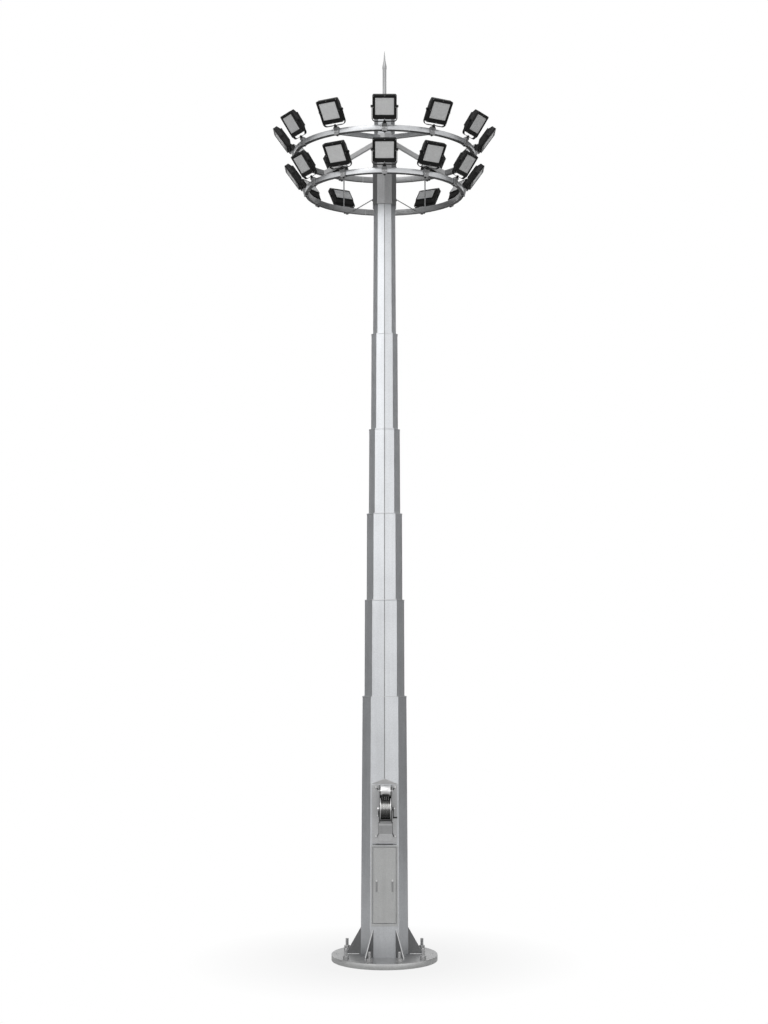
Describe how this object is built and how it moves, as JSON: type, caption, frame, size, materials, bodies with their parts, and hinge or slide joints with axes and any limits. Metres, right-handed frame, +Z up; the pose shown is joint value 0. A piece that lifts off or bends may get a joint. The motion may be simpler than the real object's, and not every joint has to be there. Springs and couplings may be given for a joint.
{
  "type": "high mast floodlight tower",
  "caption": "Stepped ten-sided steel mast on a bolted round flange, with a service door, a hand winch and two rings of tilting floodlights.",
  "frame": {"origin": "centre of the base flange's underside", "axes": "+Z up along the mast; the door and the winch face -Y; +X to the right as seen from the front"},
  "size_m": [4.0272, 4.0272, 16.236],
  "materials": {
    "black_housing": "black powder coated die casting",
    "black_strap": "dark coated steel strap",
    "clamp_casting": "raw casting",
    "galvanised_steel": "hot-dip galvanised, dull light grey",
    "lock_metal": "satin plated",
    "roller_steel": "turned bright steel",
    "sleeve_steel": "dull darker grey",
    "winch_steel": "zinc plated",
    "wire_rope": "greased steel wire rope",
    "zinc_bolts": "zinc plated"
  },
  "bodies": {
    "mast": {"anchor_bolts": "zinc_bolts", "base_flange": "galvanised_steel", "base_shell_left": "galvanised_steel", "base_shell_right": "galvanised_steel", "door_frame": "galvanised_steel", "door_jambs": "galvanised_steel", "door_sill": "galvanised_steel", "finial": "galvanised_steel", "gusset_plates": "galvanised_steel", "hub_sleeve": "sleeve_steel", "lower_lamp_clamps": "clamp_casting", "lower_lamp_yokes": "black_strap", "lower_ring": "galvanised_steel", "lower_ring_stays": "galvanised_steel", "mast_cap": "galvanised_steel", "mast_section_1": "galvanised_steel", "mast_section_2": "galvanised_steel", "mast_section_3": "galvanised_steel", "mast_section_4": "galvanised_steel", "mast_section_5": "galvanised_steel", "mast_section_6": "galvanised_steel", "ring_spokes": "galvanised_steel", "upper_lamp_clamps": "clamp_casting", "upper_lamp_yokes": "black_strap", "upper_ring": "galvanised_steel", "winch_apron": "winch_steel", "winch_frame": "winch_steel", "winch_plate": "winch_steel"},
    "lower_lamp_01": {"lower_lamp_01": "black_housing"},
    "lower_lamp_02": {"lower_lamp_02": "black_housing"},
    "lower_lamp_03": {"lower_lamp_03": "black_housing"},
    "lower_lamp_04": {"lower_lamp_04": "black_housing"},
    "lower_lamp_05": {"lower_lamp_05": "black_housing"},
    "lower_lamp_06": {"lower_lamp_06": "black_housing"},
    "lower_lamp_07": {"lower_lamp_07": "black_housing"},
    "lower_lamp_08": {"lower_lamp_08": "black_housing"},
    "lower_lamp_09": {"lower_lamp_09": "black_housing"},
    "lower_lamp_10": {"lower_lamp_10": "black_housing"},
    "lower_lamp_11": {"lower_lamp_11": "black_housing"},
    "lower_lamp_12": {"lower_lamp_12": "black_housing"},
    "upper_lamp_01": {"upper_lamp_01": "black_housing"},
    "upper_lamp_02": {"upper_lamp_02": "black_housing"},
    "upper_lamp_03": {"upper_lamp_03": "black_housing"},
    "upper_lamp_04": {"upper_lamp_04": "black_housing"},
    "upper_lamp_05": {"upper_lamp_05": "black_housing"},
    "upper_lamp_06": {"upper_lamp_06": "black_housing"},
    "upper_lamp_07": {"upper_lamp_07": "black_housing"},
    "upper_lamp_08": {"upper_lamp_08": "black_housing"},
    "upper_lamp_09": {"upper_lamp_09": "black_housing"},
    "upper_lamp_10": {"upper_lamp_10": "black_housing"},
    "upper_lamp_11": {"upper_lamp_11": "black_housing"},
    "upper_lamp_12": {"upper_lamp_12": "black_housing"},
    "door_leaf": {"door": "galvanised_steel"},
    "left_lock": {"door_lock_left": "lock_metal"},
    "right_lock": {"door_lock_right": "lock_metal"},
    "drum_and_crank": {"winch_drum": "winch_steel", "winch_rope": "wire_rope", "winch_crank": "winch_steel"},
    "guide_roller": {"winch_roller": "roller_steel"}
  },
  "joints": [
    {"name": "lower_lamp_01_tilt", "type": "hinge", "parent": "mast", "child": "lower_lamp_01", "pos_m": [0, -1.63, 13.924], "axis": [1, 0, 0], "range_deg": [-36, 54]},
    {"name": "lower_lamp_02_tilt", "type": "hinge", "parent": "mast", "child": "lower_lamp_02", "pos_m": [0.815, -1.41162, 13.924], "axis": [0.866, 0.5, 0], "range_deg": [-36, 54]},
    {"name": "lower_lamp_03_tilt", "type": "hinge", "parent": "mast", "child": "lower_lamp_03", "pos_m": [1.41162, -0.815, 13.924], "axis": [0.5, 0.866, 0], "range_deg": [-36, 54]},
    {"name": "lower_lamp_04_tilt", "type": "hinge", "parent": "mast", "child": "lower_lamp_04", "pos_m": [1.63, 0, 13.924], "axis": [0, 1, 0], "range_deg": [-36, 54]},
    {"name": "lower_lamp_05_tilt", "type": "hinge", "parent": "mast", "child": "lower_lamp_05", "pos_m": [1.41162, 0.815, 13.924], "axis": [-0.5, 0.866, 0], "range_deg": [-36, 54]},
    {"name": "lower_lamp_06_tilt", "type": "hinge", "parent": "mast", "child": "lower_lamp_06", "pos_m": [0.815, 1.41162, 13.924], "axis": [-0.866, 0.5, 0], "range_deg": [-36, 54]},
    {"name": "lower_lamp_07_tilt", "type": "hinge", "parent": "mast", "child": "lower_lamp_07", "pos_m": [0, 1.63, 13.924], "axis": [-1, 0, 0], "range_deg": [-36, 54]},
    {"name": "lower_lamp_08_tilt", "type": "hinge", "parent": "mast", "child": "lower_lamp_08", "pos_m": [-0.815, 1.41162, 13.924], "axis": [-0.866, -0.5, 0], "range_deg": [-36, 54]},
    {"name": "lower_lamp_09_tilt", "type": "hinge", "parent": "mast", "child": "lower_lamp_09", "pos_m": [-1.41162, 0.815, 13.924], "axis": [-0.5, -0.866, 0], "range_deg": [-36, 54]},
    {"name": "lower_lamp_10_tilt", "type": "hinge", "parent": "mast", "child": "lower_lamp_10", "pos_m": [-1.63, 0, 13.924], "axis": [0, -1, 0], "range_deg": [-36, 54]},
    {"name": "lower_lamp_11_tilt", "type": "hinge", "parent": "mast", "child": "lower_lamp_11", "pos_m": [-1.41162, -0.815, 13.924], "axis": [0.5, -0.866, 0], "range_deg": [-36, 54]},
    {"name": "lower_lamp_12_tilt", "type": "hinge", "parent": "mast", "child": "lower_lamp_12", "pos_m": [-0.815, -1.41162, 13.924], "axis": [0.866, -0.5, 0], "range_deg": [-36, 54]},
    {"name": "upper_lamp_01_tilt", "type": "hinge", "parent": "mast", "child": "upper_lamp_01", "pos_m": [0, -1.84, 14.611], "axis": [1, 0, 0], "range_deg": [-36, 54]},
    {"name": "upper_lamp_02_tilt", "type": "hinge", "parent": "mast", "child": "upper_lamp_02", "pos_m": [0.92, -1.59349, 14.611], "axis": [0.866, 0.5, 0], "range_deg": [-36, 54]},
    {"name": "upper_lamp_03_tilt", "type": "hinge", "parent": "mast", "child": "upper_lamp_03", "pos_m": [1.59349, -0.92, 14.611], "axis": [0.5, 0.866, 0], "range_deg": [-36, 54]},
    {"name": "upper_lamp_04_tilt", "type": "hinge", "parent": "mast", "child": "upper_lamp_04", "pos_m": [1.84, 0, 14.611], "axis": [0, 1, 0], "range_deg": [-36, 54]},
    {"name": "upper_lamp_05_tilt", "type": "hinge", "parent": "mast", "child": "upper_lamp_05", "pos_m": [1.59349, 0.92, 14.611], "axis": [-0.5, 0.866, 0], "range_deg": [-36, 54]},
    {"name": "upper_lamp_06_tilt", "type": "hinge", "parent": "mast", "child": "upper_lamp_06", "pos_m": [0.92, 1.59349, 14.611], "axis": [-0.866, 0.5, 0], "range_deg": [-36, 54]},
    {"name": "upper_lamp_07_tilt", "type": "hinge", "parent": "mast", "child": "upper_lamp_07", "pos_m": [0, 1.84, 14.611], "axis": [-1, 0, 0], "range_deg": [-36, 54]},
    {"name": "upper_lamp_08_tilt", "type": "hinge", "parent": "mast", "child": "upper_lamp_08", "pos_m": [-0.92, 1.59349, 14.611], "axis": [-0.866, -0.5, 0], "range_deg": [-36, 54]},
    {"name": "upper_lamp_09_tilt", "type": "hinge", "parent": "mast", "child": "upper_lamp_09", "pos_m": [-1.59349, 0.92, 14.611], "axis": [-0.5, -0.866, 0], "range_deg": [-36, 54]},
    {"name": "upper_lamp_10_tilt", "type": "hinge", "parent": "mast", "child": "upper_lamp_10", "pos_m": [-1.84, 0, 14.611], "axis": [0, -1, 0], "range_deg": [-36, 54]},
    {"name": "upper_lamp_11_tilt", "type": "hinge", "parent": "mast", "child": "upper_lamp_11", "pos_m": [-1.59349, -0.92, 14.611], "axis": [0.5, -0.866, 0], "range_deg": [-36, 54]},
    {"name": "upper_lamp_12_tilt", "type": "hinge", "parent": "mast", "child": "upper_lamp_12", "pos_m": [-0.92, -1.59349, 14.611], "axis": [0.866, -0.5, 0], "range_deg": [-36, 54]},
    {"name": "door_hinge", "type": "hinge", "parent": "mast", "child": "door_leaf", "pos_m": [-0.1905, -0.34277, 0.68147], "axis": [0, -0.0054, -1], "range_deg": [0, 110]},
    {"name": "left_lock_turn", "type": "hinge", "parent": "door_leaf", "child": "left_lock", "pos_m": [-0.137, -0.34484, 1.405], "axis": [0, -1, 0.0054], "range_deg": [0, 90]},
    {"name": "right_lock_turn", "type": "hinge", "parent": "door_leaf", "child": "right_lock", "pos_m": [0.137, -0.34484, 1.405], "axis": [0, -1, 0.0054], "range_deg": [0, 90]},
    {"name": "drum_spin", "type": "hinge", "parent": "mast", "child": "drum_and_crank", "pos_m": [0.018, -0.55503, 2.66118], "axis": [1, 0, 0], "continuous": true},
    {"name": "roller_spin", "type": "hinge", "parent": "mast", "child": "guide_roller", "pos_m": [0.018, -0.46041, 2.95867], "axis": [1, 0, 0], "continuous": true}
  ]
}
